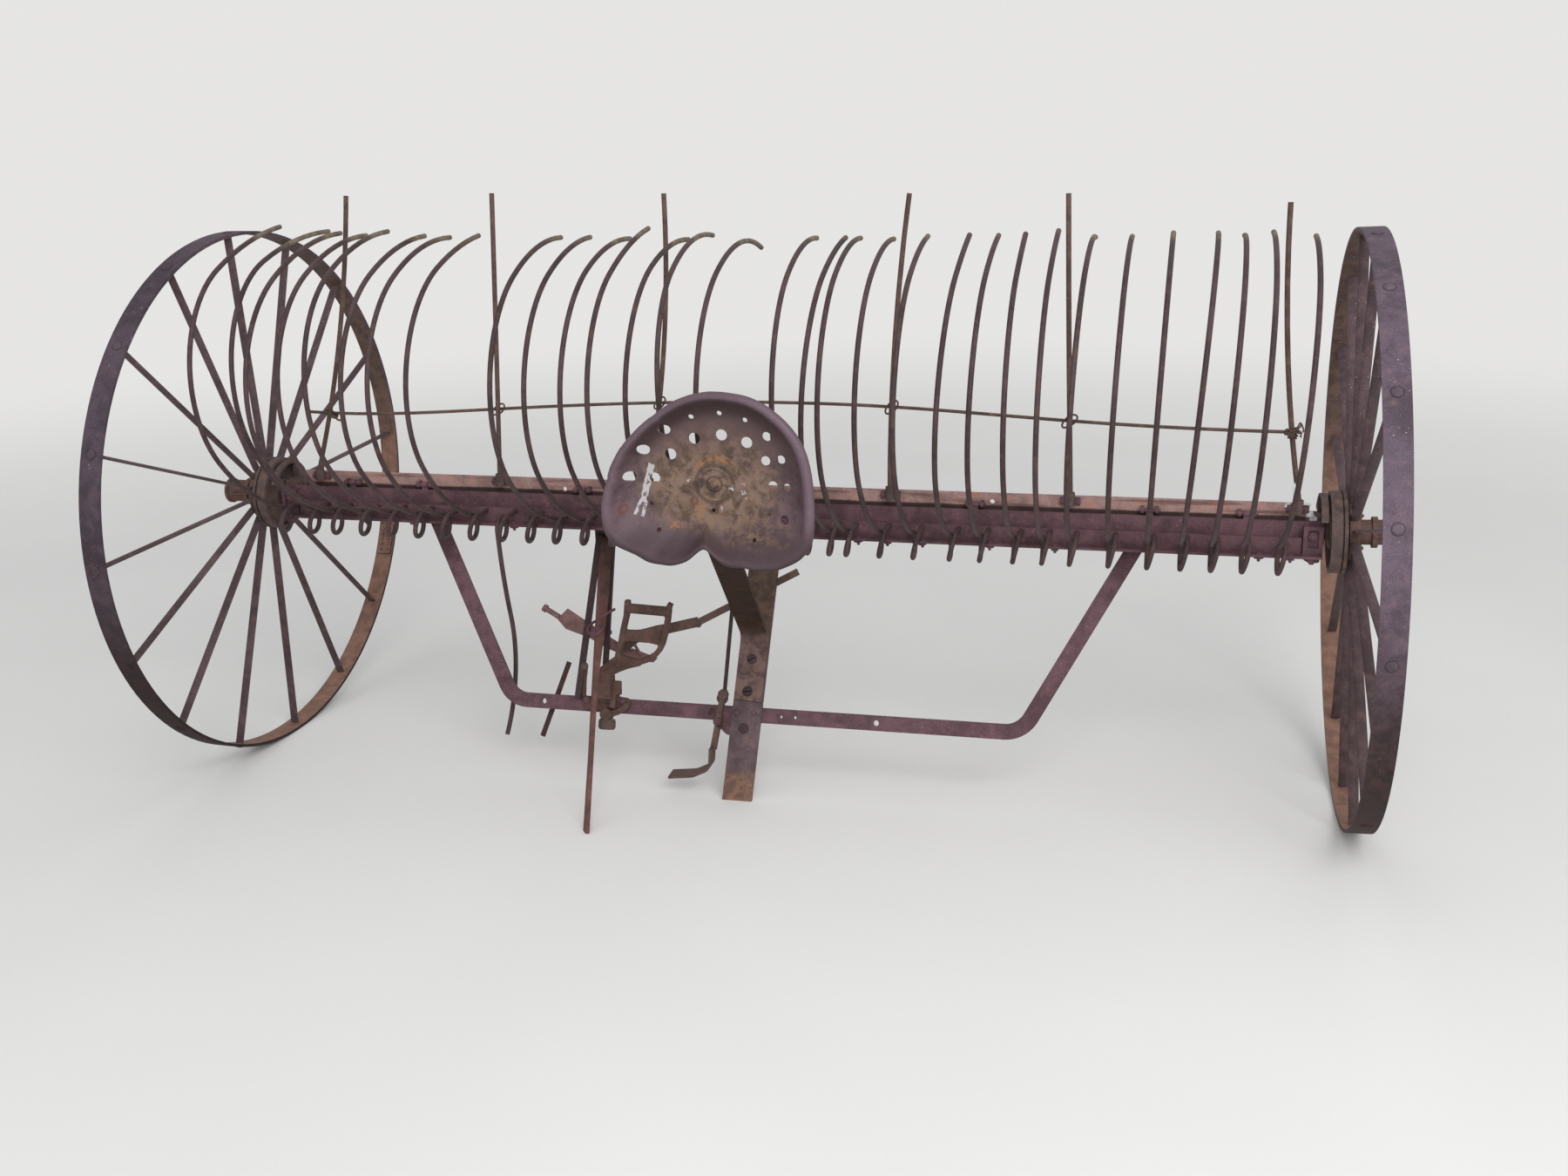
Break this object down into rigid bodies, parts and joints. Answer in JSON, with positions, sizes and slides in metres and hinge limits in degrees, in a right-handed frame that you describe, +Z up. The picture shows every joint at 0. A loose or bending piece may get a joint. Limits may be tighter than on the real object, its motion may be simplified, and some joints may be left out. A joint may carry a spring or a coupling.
{
  "type": "horse-drawn hay rake",
  "caption": "Two-wheeled horse-drawn hay rake with curved spring teeth on a hinged rake head, pan seat and draft frame, parked rolled forward.",
  "frame": {"origin": "on the ground, under the middle of the whole rake", "axes": "+X along the axle, to the right in the picture; +Y rearward, away from the seat's face; +Z up"},
  "size_m": [3.0021, 1.373, 1.4633],
  "materials": {
    "wheel_iron": "matte, weathered brown rust",
    "frame_iron": "matte, weathered brown rust",
    "beam_iron": "matte, orange rust",
    "tooth_iron": "satin, dark brown rust",
    "seat_iron": "satin, brown rust with lichen"
  },
  "bodies": {
    "frame": {"axle_beam": "beam_iron", "stub_axle_left": "frame_iron", "stub_axle_right": "frame_iron", "drum_hood_left": "frame_iron", "drum_hood_right": "frame_iron", "rod_feet": "frame_iron", "stripper_rods": "tooth_iron", "tie_rod": "tooth_iron", "hinge_ears": "frame_iron", "hinge_pins": "frame_iron", "draft_bar": "frame_iron", "upright": "frame_iron", "seat_spring": "frame_iron", "seat": "seat_iron", "hanger": "frame_iron", "prop_lever": "beam_iron", "strut_long": "frame_iron", "strut_short": "frame_iron", "pedal_bracket": "frame_iron", "foot_pedal": "frame_iron", "trip_plate": "beam_iron", "trip_bar": "frame_iron", "trip_link": "frame_iron", "trip_rod": "frame_iron", "lever_gusset": "frame_iron", "foot_lever": "frame_iron", "back_strap": "beam_iron"},
    "wheel_left": {"rim_left": "wheel_iron", "spokes_left": "wheel_iron", "hub_left": "wheel_iron", "ratchet_drum_left": "wheel_iron"},
    "wheel_right": {"rim_right": "wheel_iron", "spokes_right": "wheel_iron", "hub_right": "wheel_iron", "ratchet_drum_right": "wheel_iron"},
    "rake_head": {"rake_head_angle": "frame_iron", "tooth_strip": "frame_iron", "end_casting_left": "frame_iron", "end_casting_right": "frame_iron", "hinge_tabs": "frame_iron", "teeth": "tooth_iron", "broken_tooth": "tooth_iron", "hanging_tooth": "tooth_iron"}
  },
  "joints": [
    {"name": "wheel_left_spin", "type": "hinge", "parent": "frame", "child": "wheel_left", "pos_m": [-1.4, 0, 0.68612], "axis": [-0.9992, 0.0396, 0.0047], "continuous": true},
    {"name": "wheel_right_spin", "type": "hinge", "parent": "frame", "child": "wheel_right", "pos_m": [1.4, 0, 0.68653], "axis": [0.9993, -0.0096, 0.0359], "continuous": true},
    {"name": "rake_head_dump", "type": "hinge", "parent": "frame", "child": "rake_head", "pos_m": [0, -0.019, 0.726], "axis": [-1, 0, 0], "range_deg": [0, 50]}
  ]
}
